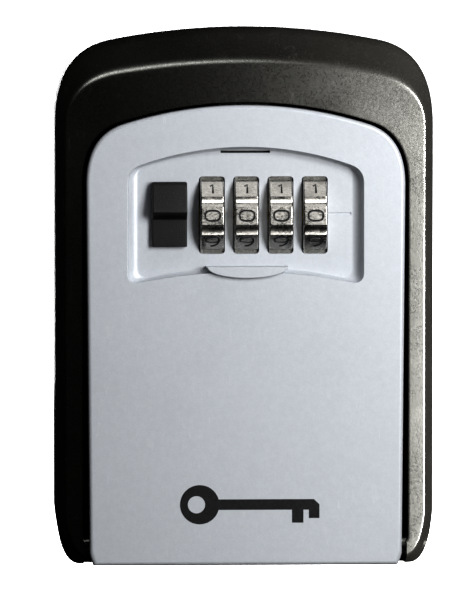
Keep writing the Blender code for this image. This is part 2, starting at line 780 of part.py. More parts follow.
def build_latch_plate():
    latch = plate(latch_outline(), PLATE_BACK, PLATE_FRONT)
    ramp = bar([(24.0, 42.5), (26.0, 42.5), (26.0, 39.9)], -7.0, 7.0)
    return cut(latch, rod_f(SMALL_HOLE, 0.0, FAR, BUTTON_X, (STEM_LOW + STEM_HIGH) / 2, 16), ramp)


def build_button():
    floor = WINDOW_FLOOR + GAP
    side = [(floor, BUTTON_LOW)] + BUTTON_SIDE + [(floor, BUTTON_HIGH)]
    button = bar(side, BUTTON_X - BUTTON_HALF_WIDTH, BUTTON_X + BUTTON_HALF_WIDTH)
    stem_x = (BUTTON_X - STEM_HALF_WIDTH, BUTTON_X + STEM_HALF_WIDTH)
    join(button, block(stem_x, (PLATE_FRONT + GAP, floor + 0.5), (STEM_LOW, STEM_HIGH)))
    return cut(button, rod_f(SMALL_HOLE, 20.0, 29.0, BUTTON_X, (STEM_LOW + STEM_HIGH) / 2, 16))


def build_latch_spring(side):
    low = SPRING_SEAT + 0.1
    length = BAR_LOW - 0.1 - low
    return helix(point(side * SPRING_X, AXIS_F, low), (0, 0, 1), length, 1.7, 0.22, 5.5)


# ---------------------------------------------------------------- assembly

for leftover in list(bpy.data.objects):
    bpy.data.objects.remove(leftover)

MATERIALS = {name: make_material(name, *look) for name, look in MATERIAL_LOOKS.items()}

finish(build_case(), "case", "case_paint")
finish(build_strike(), "strike_plate", "zinc_steel")
for number, screw_x in ((1, -STRIKE_SCREW_X), (2, STRIKE_SCREW_X)):
    strike_screw = small_screw(STRIKE["f"][0] - GAP - 1.3, STRIKE_SCREW_DEPTH - GAP, screw_x, STRIKE_SCREW_Z)
    finish(strike_screw, f"strike_screw_{number}", "screw_steel")
finish(build_hinge_pin(), "hinge_pin", "zinc_steel")

door_axis = joint_empty("door_axis", (0.0, PIN_F, PIN_Z))
finish(build_door(), "door_panel", "door_paint", door_axis)
finish(build_cover(), "door_back_cover", "cover_plastic", door_axis)
for number, (screw_x, screw_z) in enumerate(COVER_SCREWS, 1):
    finish(cover_screw(screw_x, screw_z), f"cover_screw_{number}", "screw_steel", door_axis)
finish(build_detent(), "detent_spring", "spring_steel", door_axis)
for number, screw_x in enumerate(DETENT_SCREW_X, 1):
    leaf_front = DETENT_BACK + DETENT_THICK
    detent_screw = turned_f(
        [(10.2, 0.5), (10.5, SMALL_SHANK), (leaf_front + GAP, SMALL_SHANK), (leaf_front + GAP, 1.8),
         (leaf_front + 1.0, 1.7), (leaf_front + 1.2, 1.2)],
        screw_x, DETENT_BASE_Z,
    )
    finish(detent_screw, f"detent_screw_{number}", "screw_steel", door_axis)
finish(build_shaft(), "dial_shaft", "zinc_steel", door_axis)
finish(build_clip(), "shaft_clip", "spring_steel", door_axis)
finish(build_latch_spring(-1), "latch_spring_left", "spring_steel", door_axis, smooth=60.0)
finish(build_latch_spring(1), "latch_spring_right", "spring_steel", door_axis, smooth=60.0)
finish(build_reset_spring(), "reset_spring", "spring_steel", door_axis, smooth=60.0)

release_slide = joint_empty("release_slide", (BUTTON_X, WINDOW_FLOOR, BUTTON_LOW), door_axis)
finish(build_latch_plate(), "latch_plate", "zinc_steel", release_slide)
finish(build_button(), "release_button", "button_black", release_slide)
latch_screw = small_screw(PLATE_BACK - GAP - 1.3, 28.6, BUTTON_X, (STEM_LOW + STEM_HIGH) / 2)
finish(latch_screw, "latch_screw", "screw_steel", release_slide)

reset_slide = joint_empty("reset_slide", (DIAL_X[0], AXIS_F, AXIS_Z), door_axis)
finish(build_reset_lever(), "reset_lever", "lever_plastic", reset_slide, (0.0, AXIS_F, AXIS_Z))
for number, dial_x in enumerate(DIAL_X, 1):
    middle = (dial_x, AXIS_F, AXIS_Z)
    finish(build_dial(dial_x), f"dial_{number}", "dial_metal", door_axis, middle, smooth=25.0)
    finish(build_sleeve(dial_x), f"code_sleeve_{number}", "sleeve_brass", reset_slide, middle)
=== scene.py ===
"""Looks of the wall-mounted key lock box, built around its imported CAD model.

Shapes are worked out in millimetres with the depth in front of the wall called f (so y = -f),
as in the CAD source, and are turned into metres when a piece is finished.
"""

from math import cos, pi, radians, sin, sqrt

import bmesh
import bpy
from mathutils import Matrix, Vector


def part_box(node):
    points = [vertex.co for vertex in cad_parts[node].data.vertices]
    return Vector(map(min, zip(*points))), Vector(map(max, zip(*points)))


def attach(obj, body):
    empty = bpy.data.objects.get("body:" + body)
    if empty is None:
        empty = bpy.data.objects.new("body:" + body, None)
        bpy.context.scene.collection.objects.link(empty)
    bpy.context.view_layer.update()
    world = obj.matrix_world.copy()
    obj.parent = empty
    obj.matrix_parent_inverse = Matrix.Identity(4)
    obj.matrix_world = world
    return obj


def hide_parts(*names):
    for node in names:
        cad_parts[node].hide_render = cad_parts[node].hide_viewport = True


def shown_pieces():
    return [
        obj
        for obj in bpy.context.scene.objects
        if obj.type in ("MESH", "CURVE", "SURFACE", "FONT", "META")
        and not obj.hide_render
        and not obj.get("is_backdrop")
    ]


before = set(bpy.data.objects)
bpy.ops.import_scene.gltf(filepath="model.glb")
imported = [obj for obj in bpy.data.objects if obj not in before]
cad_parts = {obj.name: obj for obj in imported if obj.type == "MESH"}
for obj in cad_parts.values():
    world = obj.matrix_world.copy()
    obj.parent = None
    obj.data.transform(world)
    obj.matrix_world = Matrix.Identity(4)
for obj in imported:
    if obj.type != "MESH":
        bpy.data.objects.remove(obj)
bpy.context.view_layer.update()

MM = 0.001


# ---------------------------------------------------------------- places taken from the CAD

class Extent:
    """The limits of a CAD node in millimetres: across (x), out from the wall (f) and up (z)."""

    def __init__(self, node):
        low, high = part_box(node)
        self.x = (low.x / MM, high.x / MM)
        self.f = (-high.y / MM, -low.y / MM)
        self.z = (low.z / MM, high.z / MM)

    def middle(self):
        return tuple((pair[0] + pair[1]) / 2 for pair in (self.x, self.f, self.z))


CASE = Extent("case")
DOOR = Extent("door_panel")
BUTTON = Extent("release_button")
DIALS = [Extent(f"dial_{n}") for n in (1, 2, 3, 4)]
PIN = Extent("hinge_pin")

DIAL_X = [dial.middle()[0] for dial in DIALS]
AXIS_F = DIALS[0].middle()[1]
AXIS_Z = DIALS[0].middle()[2]
PIN_F = PIN.middle()[1]
PIN_Z = PIN.middle()[2]

# ---- Case, as in the CAD source ----
CASE_BACK_WALL = 3.5
CASE_FLOOR_TOP = -55.0
CASE_FLOOR_FRONT = 21.6
CASE_TOP_ARC = 151.0
CASE_TOP = CASE.z[1]
CASE_BOTTOM = CASE.z[0]
CASE_HALF_WIDTH = CASE.x[1]
CASE_FRONT = CASE.f[1]
CASE_FOOT_HALF_WIDTH = 36.2
CASE_HIP_Z = -47.5
CASE_SIDE_TOP = 37.5
CASE_ARC_HALF = 29.5
CASE_ARC_GROWTH = 2.0          # added to the top arch's radius for each millimetre inward
CASE_BACK_EDGE = [(0.0, 0.5), (0.15, 0.15), (0.5, 0.0)]
SHOULDER_START = 24.0
SIDE_SHARE = 0.29              # how far the sides come in for each millimetre at the top
FOOT_SHARE = 0.27
LEG_INSIDE = 35.3
LIP_BACK = 27.2
OPENING_HALF_WIDTH = 35.65
OPENING_TOP = 42.55
OPENING_ARC = 88.7
OPENING_ARC_HALF = 27.4
OPENING_SIDE_TOP = 24.6
OPENING_CORNER = 3.0
OPENING_EDGE = [(0.0, -0.4), (0.0, -0.14), (0.04, -0.04), (0.14, 0.0)]
FLOOR_TRIM = 0.15              # keeps the open door's heel clear of the case's floor
LATCH_POCKET = ((-11.0, 11.0), (14.0, LIP_BACK), (38.0, 47.2))
BACK_POCKET = [(13.5, 45.8), (32.0, 45.8), (32.0, 48.6), (27.0, 51.0), (13.5, 53.6)]
BACK_POCKET_DEPTH = 21.0
MOUNT_HOLE_RADIUS = 2.75
MOUNT_HOLES = [(-24.0, 26.0), (24.0, 26.0), (-24.0, -36.0), (24.0, -36.0)]
PIN_HOLE_RADIUS = 1.8
SMALL_HOLE = 1.2
STRIKE_SCREW_X = 7.6
STRIKE_SCREW_Z = 44.5
STRIKE_SCREW_DEPTH = 30.6

# ---- Door ----
DOOR_HALF_WIDTH = DOOR.x[1]
DOOR_FOOT_HALF_WIDTH = 34.2
DOOR_TOP = DOOR.z[1]
DOOR_BOTTOM = DOOR.z[0]
DOOR_ARC = 88.0
DOOR_ARC_HALF = 26.8
DOOR_SIDE_TOP = 24.5
DOOR_EDGE = 0.9
DOOR_HIP_RISE = 2.6
DOOR_FRONT = 32.7
DOOR_RIM = DOOR.f[0]
DOOR_WALL = 2.2
DOOR_SKIN_BACK = 30.0
BARREL_RADIUS = 5.0
MID_WALL = (-1.5, 0.7)
TRAY_LOW = -49.5
MOON_X = 0.3
MOON_HALF_WIDTH = 8.95
MOON_TOP = 6.7
MOON_HEIGHT = 2.6
MOON_FRONT = DOOR.f[1]
MOON_EDGE = 0.5

# ---- Window in the door ----
WINDOW_FLOOR = 29.7
WINDOW_FLOOR_BACK = 27.3
WINDOW_HALF_WIDTH = 25.75
WINDOW_TOP = 32.75
WINDOW_LOW = 3.1
WINDOW_BOW = 2.4
WINDOW_ARC = 69.0
WINDOW_ARC_HALF = 22.8
WINDOW_SIDE_TOP = 24.8
WINDOW_CORNER = 2.2
WINDOW_EDGE = 2.4
WINDOW_STEPS = 10
GROOVE_Z = (17.85, 18.35)
GROOVE_END = 23.2
CLIP_SLOT_X = 5.4
CLIP_SLOT_Z = (31.4, 31.9)
CLIP_SLOT_F = (WINDOW_FLOOR - 1.7, WINDOW_FLOOR + 0.9)

# ---- Dials and the parts that hold them ----
DIAL_RADIUS = 10.0
DIAL_HALF_WIDTH = 2.6
DIAL_BORE = 6.0
BORE_NOTCH = 0.9
FLAT_HALF_ANGLE = 0.197
HOLLOW_DEPTH = 0.4
DIGITS = 10
DIGIT_HALF_WIDTH = 1.62
DIGIT_HALF_HEIGHT = 1.12
DIGIT_STROKE = 0.25
SHAFT_HOLE = 2.3
GATE_CLEAR = 28.2
LEFT_LUG = (-14.8, -12.9)
RIGHT_LUG = (22.0, 24.4)
LUG_BACK = 20.0
SLOT_HALF_HEIGHT = 8.46
SLOT_CORNER = 0.8
SLOT_SIDE_GAP = 0.25
SLOT_RIM_GAP = 0.2
SOFT_EDGE = [(0.0, 0.35), (0.06, 0.18), (0.18, 0.06), (0.35, 0.0)]

# ---- Release button and its neighbours ----
RELEASE_TRAVEL = 4.5
BUTTON_X = BUTTON.middle()[0]
BUTTON_HALF_WIDTH = (BUTTON.x[1] - BUTTON.x[0]) / 2
BUTTON_LOW = BUTTON.z[0]
BUTTON_HIGH = BUTTON.z[1]
STEM_HALF_WIDTH = 1.5
STEM_LOW = 15.8
STEM_HIGH = 20.2
PLATE_BACK = 23.2
PLATE_FRONT = 24.8
BAR_HALF_LENGTH = 25.6
HOOK_HALF_WIDTH = 5.0
SPRING_X = 23.2
SPRING_SEAT = 24.2
RIB_BACK = 21.5
COVER_SCREWS = [(-29.2, 5.5), (29.2, 5.5), (-29.2, 23.6), (29.2, 23.6)]
COVER_HOLE = 1.5
BOSS_RADIUS = 3.0

# ---- Printed key sign: a plain key, drawn about its own centre ----
MARK_PLACE = (0.5, -45.4)
MARK_THICKNESS = 0.03
KEY_HEAD_X = -10.6
KEY_HEAD_RADIUS = 4.3
KEY_HEAD_GAP = 0.27            # radians from the key's axis to where its shank leaves the head
KEY_EYE_X = -11.3
KEY_EYE_RADIUS = 1.9
KEY_SHANK_HALF = 1.15
KEY_BIT = [(9.6, -4.0), (12.1, -4.0)]
KEY_TIP = [(13.3, -3.0), (15.6, -3.0), (15.6, 0.0), (14.4, KEY_SHANK_HALF)]

FAR = 60.0
BELOW = -70.0                  # lower than anything on the box


# ---------------------------------------------------------------- materials

class Finish:
    """A procedural material whose texture space is the object's own, in millimetres."""

    def __init__(self, name):
        self.material = bpy.data.materials.new(name)
        self.material.use_nodes = True
        self.tree = self.material.node_tree
        self.shader = self.tree.nodes["Principled BSDF"]
        place = self.add("ShaderNodeTexCoord")
        self.millimetres = self.stretch(place.outputs["Object"], (1000.0, 1000.0, 1000.0))

    def add(self, kind, **settings):
        node = self.tree.nodes.new(kind)
        for key, value in settings.items():
            setattr(node, key, value)
        return node

    def feed(self, socket, source):
        if isinstance(source, bpy.types.NodeSocket):
            self.tree.links.new(source, socket)
        else:
            socket.default_value = source

    def stretch(self, source, scale):
        node = self.add("ShaderNodeMapping")
        self.feed(node.inputs["Vector"], source)
        node.inputs["Scale"].default_value = scale
        return node.outputs["Vector"]

    def noise(self, scale, detail=3.0, rough=0.5, stretch=(1.0, 1.0, 1.0)):
        """Noise with so many cells to a millimetre."""
        node = self.add("ShaderNodeTexNoise")
        self.feed(node.inputs["Vector"], self.stretch(self.millimetres, stretch))
        node.inputs["Scale"].default_value = scale
        node.inputs["Detail"].default_value = detail
        node.inputs["Roughness"].default_value = rough
        return node.outputs["Fac"]

    def cells(self, scale, stretch=(1.0, 1.0, 1.0)):
        node = self.add("ShaderNodeTexVoronoi")
        self.feed(node.inputs["Vector"], self.stretch(self.millimetres, stretch))
        node.inputs["Scale"].default_value = scale
        return node

    def span(self, source, low, high, to_low=0.0, to_high=1.0):
        """The source between two levels, spread over another range."""
        node = self.add("ShaderNodeMapRange")
        self.feed(node.inputs["Value"], source)
        node.inputs["From Min"].default_value = low
        node.inputs["From Max"].default_value = high
        node.inputs["To Min"].default_value = to_low
        node.inputs["To Max"].default_value = to_high
        return node.outputs["Result"]

    def blend(self, amount, first, second):
        node = self.add("ShaderNodeMix", data_type="RGBA")
        self.feed(node.inputs[0], amount)
        for socket, value in ((node.inputs[6], first), (node.inputs[7], second)):
            self.feed(socket, (*value, 1.0) if isinstance(value, tuple) else value)
        return node.outputs[2]

    def sum(self, first, second, operation="ADD"):
        node = self.add("ShaderNodeMath", operation=operation)
        self.feed(node.inputs[0], first)
        self.feed(node.inputs[1], second)
        return node.outputs[0]

    def relief(self, layers):
        """Bumps on top of each other, as (height source, distance in millimetres)."""
        normal = None
        for source, distance in layers:
            node = self.add("ShaderNodeBump")
            node.inputs["Distance"].default_value = distance * MM
            self.feed(node.inputs["Height"], source)
            if normal is not None:
                self.feed(node.inputs["Normal"], normal)
            normal = node.outputs["Normal"]
        self.feed(self.shader.inputs["Normal"], normal)

    def scratches(self, scale, thin, turn=0.0):
        """Sparse thin lines, as a mask: 1 on a scratch."""
        node = self.add("ShaderNodeMapping")
        self.feed(node.inputs["Vector"], self.millimetres)
        node.inputs["Rotation"].default_value = (0.0, radians(turn), 0.0)
        node.inputs["Scale"].default_value = (1.0, 0.3, 0.045)
        wave = self.add("ShaderNodeTexNoise")
        self.feed(wave.inputs["Vector"], node.outputs["Vector"])
        wave.inputs["Scale"].default_value = scale
        wave.inputs["Detail"].default_value = 2.0
        line = self.span(wave.outputs["Fac"], 0.5 - thin, 0.5 + thin)
        distance = self.add("ShaderNodeMath", operation="ABSOLUTE")
        self.feed(distance.inputs[0], self.sum(line, 0.5, "SUBTRACT"))
        mask = self.span(distance.outputs[0], 0.5, 0.0)
        where = self.span(self.noise(0.22, 2.0), 0.56, 0.66)
        return self.sum(mask, where, "MULTIPLY")


def case_paint():
    """Charcoal powder coat: a fine pebbled skin with faint smudges and rubbed spots."""
    look = Finish("look_case_paint")
    pebble = look.noise(2.6, 2.0, 0.6)
    speck = look.noise(5.5, 1.0, 0.5)
    smudge = look.noise(0.055, 4.0, 0.6)
    rub = look.scratches(0.9, 0.012, 28.0)
    dust = look.span(speck, 0.62, 0.80)
    color = look.blend(smudge, (0.0052, 0.0050, 0.0044), (0.0085, 0.0082, 0.0072))
    color = look.blend(dust, color, (0.028, 0.027, 0.024))
    color = look.blend(look.sum(rub, 0.5, "MULTIPLY"), color, (0.05, 0.048, 0.044))
    rough = look.span(smudge, 0.3, 0.7, 0.27, 0.33)
    rough = look.sum(rough, look.span(pebble, 0.3, 0.7, -0.04, 0.05))
    look.feed(look.shader.inputs["Base Color"], color)
    look.feed(look.shader.inputs["Roughness"], rough)
    look.shader.inputs["Specular IOR Level"].default_value = 0.6
    look.shader.inputs["Specular Tint"].default_value = (1.0, 1.0, 0.94, 1.0)
    look.relief([(pebble, 0.014), (speck, 0.005)])
    return look.material


def door_paint():
    """Silver paint with fine flake under a satin skin."""
    look = Finish("look_door_paint")
    flake = look.cells(7.5)
    flake_tone = look.span(flake.outputs["Color"], 0.0, 1.0)
    mottle = look.noise(0.9, 3.0, 0.55)
    smudge = look.noise(0.045, 4.0, 0.6)
    orange = look.noise(1.1, 2.0, 0.5)
    grain = look.noise(4.5, 2.0, 0.5)
    rub = look.scratches(0.8, 0.010, -22.0)
    color = look.blend(flake_tone, (0.520, 0.543, 0.575), (0.610, 0.634, 0.668))
    color = look.blend(look.span(mottle, 0.35, 0.7, 0.0, 0.35), color, (0.49, 0.512, 0.545))
    color = look.blend(look.span(smudge, 0.45, 0.75, 0.0, 0.22), color, (0.48, 0.500, 0.532))
    color = look.blend(look.sum(rub, 0.4, "MULTIPLY"), color, (0.74, 0.76, 0.78))
    rough = look.span(smudge, 0.3, 0.7, 0.36, 0.47)
    rough = look.sum(rough, look.span(flake_tone, 0.0, 1.0, -0.04, 0.04))
    look.feed(look.shader.inputs["Base Color"], color)
    look.feed(look.shader.inputs["Roughness"], rough)
    look.shader.inputs["Metallic"].default_value = 0.15
    look.shader.inputs["Specular IOR Level"].default_value = 0.5
    look.relief([(orange, 0.010), (grain, 0.006)])
    return look.material


def bright_metal(name, tone, dark, rough, streak=(0.35, 1.0, 1.0), scale=2.0, pits=0.012):
    """Plated or turned metal: fine lines, cloudy roughness, small pits and dull spots."""
    look = Finish(name)
    lines = look.noise(scale, 3.0, 0.6, streak)
    cloud = look.noise(0.30, 3.0, 0.6)
    pit = look.cells(1.9)
    pit_mask = look.span(pit.outputs["Distance"], 0.16, 0.05)
    tarnish = look.span(cloud, 0.52, 0.75, 0.0, 0.75)
    color = look.blend(look.span(lines, 0.3, 0.7), dark, tone)
    color = look.blend(tarnish, color, dark)
    color = look.blend(look.sum(pit_mask, 0.6, "MULTIPLY"), color, tuple(0.45 * c for c in dark))
    level = look.span(cloud, 0.3, 0.7, rough - 0.06, rough + 0.10)
    level = look.sum(level, look.span(lines, 0.3, 0.7, -0.04, 0.05))
    look.feed(look.shader.inputs["Base Color"], color)
    look.feed(look.shader.inputs["Roughness"], level)
    look.shader.inputs["Metallic"].default_value = 1.0
    look.relief([(cloud, 0.03), (lines, pits)])
    return look.material


def plastic(name, tone, light, rough, grain=1.0):
    """Moulded plastic with an eroded grain, faint flow marks and small scuffs."""
    look = Finish(name)
    fine = look.noise(3.4, 3.0, 0.65)
    flow = look.noise(0.16, 3.0, 0.5, (1.0, 1.0, 0.4))
    scuff = look.scratches(1.1, 0.014, 41.0)
    color = look.blend(look.span(flow, 0.35, 0.7), tone, light)
    scuffed = tuple(min(1.0, 3.0 * c + 0.02) for c in light)
    color = look.blend(look.sum(scuff, 0.5, "MULTIPLY"), color, scuffed)
    level = look.span(flow, 0.3, 0.7, rough - 0.05, rough + 0.06)
    level = look.sum(level, look.span(fine, 0.3, 0.7, -0.05, 0.06))
    look.feed(look.shader.inputs["Base Color"], color)
    look.feed(look.shader.inputs["Roughness"], level)
    look.shader.inputs["Specular IOR Level"].default_value = 0.5
    look.relief([(flow, 0.02), (fine, 0.05 * grain)])
    return look.material


def ink_and_slot_shade():
    """Black paint in the engraved digits and the printed mark, thin and a little uneven. The same
    near-black also lines the door's clip slot, as painted shade in that recess.
    """
    look = Finish("look_ink_and_slot_shade")
    blot = look.noise(1.6, 3.0, 0.6)
    fine = look.noise(5.0, 2.0, 0.5)
    color = look.blend(look.span(blot, 0.35, 0.7), (0.006, 0.006, 0.007), (0.016, 0.016, 0.018))
    look.feed(look.shader.inputs["Base Color"], color)
    look.feed(look.shader.inputs["Roughness"], look.span(fine, 0.3, 0.7, 0.42, 0.58))
    look.shader.inputs["Specular IOR Level"].default_value = 0.4
    look.relief([(blot, 0.01), (fine, 0.006)])
    return look.material


LOOKS = {
    "case_paint": case_paint(),
    "door_paint": door_paint(),
    "dial_metal": bright_metal(
        "look_dial_metal", (0.66, 0.645, 0.61), (0.40, 0.385, 0.355), 0.24, (0.5, 1.0, 1.0), 2.6
    ),
    "button_black": plastic(
        "look_button_black", (0.003, 0.0026, 0.0024), (0.006, 0.0054, 0.005), 0.42, 1.3
    ),
    "plated_steel": bright_metal(
        "look_plated_steel", (0.62, 0.62, 0.58), (0.42, 0.42, 0.38), 0.30, (1.0, 1.0, 0.15)
    ),
    # near-black steel for the strike plate, which is plated steel: darkened as painted shade so that
    # it reads dark in the gap beside the door
    "strike_shade_steel": bright_metal(
        "look_strike_shade_steel", (0.030, 0.030, 0.028), (0.012, 0.012, 0.011), 0.42, (1.0, 1.0, 0.15)
    ),
    "spring_steel": bright_metal(
        "look_spring_steel", (0.55, 0.56, 0.58), (0.34, 0.35, 0.37), 0.25, (1.0, 1.0, 1.0)
    ),
    "sleeve_brass": bright_metal(
        "look_sleeve_brass", (0.78, 0.57, 0.26), (0.52, 0.35, 0.13), 0.30, (0.3, 1.0, 1.0)
    ),
    "cover_plastic": plastic(
        "look_cover_plastic", (0.014, 0.014, 0.015), (0.022, 0.022, 0.023), 0.55, 1.2
    ),
    "lever_plastic": plastic(
        "look_lever_plastic", (0.36, 0.035, 0.022), (0.46, 0.055, 0.035), 0.45, 1.0
    ),
    "screw_steel": bright_metal(
        "look_screw_steel", (0.46, 0.46, 0.47), (0.26, 0.26, 0.27), 0.33, (1.0, 0.3, 1.0)
    ),
}
INK_AND_SLOT_SHADE = ink_and_slot_shade()


# ---------------------------------------------------------------- shape helpers

def point(x, f, z):
    """Blender's coordinates of a place given across, out from the wall and up."""
    return Vector((x, -f, z))


def object_from(bm):
    bmesh.ops.recalc_face_normals(bm, faces=bm.faces)
    mesh = bpy.data.meshes.new("shape")
    bm.to_mesh(mesh)
    bm.free()
    thing = bpy.data.objects.new("shape", mesh)
    bpy.context.scene.collection.objects.link(thing)
    return thing


def loft(rings, closed=False):
    """A solid through rings of the same number of points: capped, or joined end to end."""
    bm = bmesh.new()
    loops = [[bm.verts.new(p) for p in ring] for ring in rings]
    count = len(loops[0])
    pairs = list(zip(loops, loops[1:]))
    if closed:
        pairs.append((loops[-1], loops[0]))
    for low, high in pairs:
        for i in range(count):
            j = (i + 1) % count
            bm.faces.new((low[i], low[j], high[j], high[i]))
    if not closed:
        bm.faces.new(loops[0])
        bm.faces.new(loops[-1])
    return object_from(bm)


def rings_of(outlines):
    """Outlines in the plane of the wall, each at its own depth, as rings for a loft."""
    return [[point(x, f, z) for x, z in outline] for f, outline in outlines]


def plate(outline, back, front):
    """A prism whose outline lies in the plane of the wall."""
    return loft(rings_of([(back, outline), (front, outline)]))


def bar(outline, left, right):
    """A prism across the box, with its outline given as (depth, height)."""
    return loft([[point(x, f, z) for f, z in outline] for x in (left, right)])


def block(x, f, z):
    return bar([(f[0], z[0]), (f[1], z[0]), (f[1], z[1]), (f[0], z[1])], *x)


def circle(radius, steps, u=0.0, v=0.0):
    return [
        (u + radius * cos(2 * pi * i / steps), v + radius * sin(2 * pi * i / steps))
        for i in range(steps)
    ]


def rod_x(radius, left, right, f, z, steps=48):
    return bar(circle(radius, steps, f, z), left, right)


def rod_f(radius, back, front, x, z, steps=40):
    return plate(circle(radius, steps, x, z), back, front)


def rounded(x, z, radius, steps=6):
    """A rectangle between two pairs of limits, with round corners."""
    outline = []
    corners = [(x[1], z[1], 0.0), (x[0], z[1], pi / 2), (x[0], z[0], pi), (x[1], z[0], 1.5 * pi)]
    for cx, cz, start in corners:
        sx = radius if cx == x[0] else -radius
        sz = radius if cz == z[0] else -radius
        for i in range(steps + 1):
            angle = start + pi / 2 * i / steps
            outline.append((cx + sx + radius * cos(angle), cz + sz + radius * sin(angle)))
    return outline


def carve(target, tool, operation="DIFFERENCE"):
    """One Boolean, applied at once. The tool is used up."""
    modifier = target.modifiers.new("carve", "BOOLEAN")
    modifier.operation = operation
    modifier.solver = "EXACT"
    modifier.use_self = tool.get("self_crossing", False)
    modifier.object = tool
    graph = bpy.context.evaluated_depsgraph_get()
    graph.update()
    result = bpy.data.meshes.new_from_object(target.evaluated_get(graph))
    target.modifiers.clear()
    target.data = result
    bpy.data.objects.remove(tool)
    return target


def cut(target, *tools):
    for tool in tools:
        carve(target, tool)
    return target


def join(target, *tools):
    for tool in tools:
        carve(target, tool, "UNION")
    return target


def show(thing, name, slot, body, node, keep_materials=False, smooth=32.0):
    """Finishes a piece in metres, in place of a CAD node, on that node's body."""
    mesh = thing.data
    mesh.transform(Matrix.Scale(MM, 4))
    if not keep_materials:
        mesh.materials.clear()
        mesh.materials.append(LOOKS[slot])
    mesh.shade_smooth()
    mesh.set_sharp_from_angle(angle=radians(smooth))
    mesh.name = name
    thing.name = name
    weights = thing.modifiers.new("flat_faces", "WEIGHTED_NORMAL")
    weights.keep_sharp = True
    weights.weight = 100
    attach(thing, body)
    if node:
        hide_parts(node)
    return thing


# ---------------------------------------------------------------- outlines

def bezier(a, b, c, steps):
    """Points of a quadratic curve from a to c, without a itself."""
    points = []
    for i in range(1, steps + 1):
        t = i / steps
        points.append(tuple(
            (1 - t) ** 2 * p + 2 * t * (1 - t) * q + t * t * r for p, q, r in zip(a, b, c)
        ))
    return points


def arched(foot, hip, side, top, arc_radius, arc_half, hip_pull=None, fine=3):
    """The arched outline that the case, the door and the window share, in finer steps."""
    sag = arc_radius - sqrt(arc_radius ** 2 - arc_half ** 2)
    slope = arc_half / sqrt(arc_radius ** 2 - arc_half ** 2)
    arc_end = (arc_half, top - sag)
    shoulder = (side[0], arc_end[1] - slope * (side[0] - arc_half))
    pull = hip_pull or (hip[0], foot[1])
    right = [foot] + bezier(foot, pull, hip, 4 * fine) + [side]
    right += bezier(side, shoulder, arc_end, 7 * fine)
    count = 6 * fine
    for i in range(1, count):
        x = arc_half * (1 - i / count)
        right.append((x, top - arc_radius + sqrt(arc_radius ** 2 - x ** 2)))
    left = [(-x, z) for x, z in reversed(right)]
    return right + [(0.0, top)] + left


def case_outline(side_inset, top_inset, low_inset):
    half = CASE_HALF_WIDTH - side_inset
    foot_z = CASE_BOTTOM + low_inset
    return arched(
        foot=(CASE_FOOT_HALF_WIDTH - side_inset, foot_z),
        hip=(half, CASE_HIP_Z),
        side=(half, CASE_SIDE_TOP),
        top=CASE_TOP - top_inset,
        arc_radius=CASE_TOP_ARC + CASE_ARC_GROWTH * top_inset,
        arc_half=CASE_ARC_HALF - side_inset,
        hip_pull=(half - 0.9, foot_z),
    )


def opening_outline(inset):
    half = OPENING_HALF_WIDTH - inset
    return arched(
        foot=(half - OPENING_CORNER, CASE_FLOOR_TOP),
        hip=(half, CASE_FLOOR_TOP + OPENING_CORNER),
        side=(half, OPENING_SIDE_TOP),
        top=OPENING_TOP - inset,
        arc_radius=OPENING_ARC,
        arc_half=OPENING_ARC_HALF - inset,
    )


def door_outline(inset, bottom=None):
    low = DOOR_BOTTOM + inset if bottom is None else bottom
    foot_half = DOOR_FOOT_HALF_WIDTH - inset
    return arched(
        foot=(foot_half - 0.9, low),
        hip=(foot_half, low + DOOR_HIP_RISE),
        side=(DOOR_HALF_WIDTH - inset, DOOR_SIDE_TOP),
        top=DOOR_TOP - inset,
        arc_radius=DOOR_ARC - inset,
        arc_half=DOOR_ARC_HALF,
        hip_pull=(foot_half - 0.3, low + DOOR_HIP_RISE / 2),
    )


def window_outline(inset):
    """The sunken window: an arched top like the door's, and a bottom that bows upward."""
    half = WINDOW_HALF_WIDTH - inset
    low = WINDOW_LOW + inset * 0.5
    outline = arched(
        foot=(half - WINDOW_CORNER, low),
        hip=(half, low + WINDOW_CORNER),
        side=(half, WINDOW_SIDE_TOP + inset * 0.75),
        top=WINDOW_TOP - inset / 3,
        arc_radius=WINDOW_ARC,
        arc_half=WINDOW_ARC_HALF - inset * 0.17,
    )
    reach = half - WINDOW_CORNER
    steps = 30
    bottom = [-reach + 2 * reach * i / steps for i in range(1, steps)]
    return outline + [(x, low + WINDOW_BOW * (1 - (x / reach) ** 2)) for x in bottom]


# ---------------------------------------------------------------- case

def case_stations():
    """The outer skin from the back edge to the front band, as depth and three insets.

    The shoulder sweeps in from the side, and a chamfer leads from it to a soft ridge.
    """
    stations = [(f, inset, inset, inset) for f, inset in CASE_BACK_EDGE]
    stations.append((SHOULDER_START, 0.0, 0.0, 0.0))
    shoulder = bezier((SHOULDER_START, 0.0), (25.6, 0.2), (27.2, 1.7), 8)
    ridge = bezier((31.1, 5.9), (32.2, 6.9), (32.42, 8.2), 10)
    band_edge = (32.46, 8.9)
    for f, top in shoulder + ridge + [band_edge]:
        stations.append((f, top * SIDE_SHARE, top, top * FOOT_SHARE))
    return stations


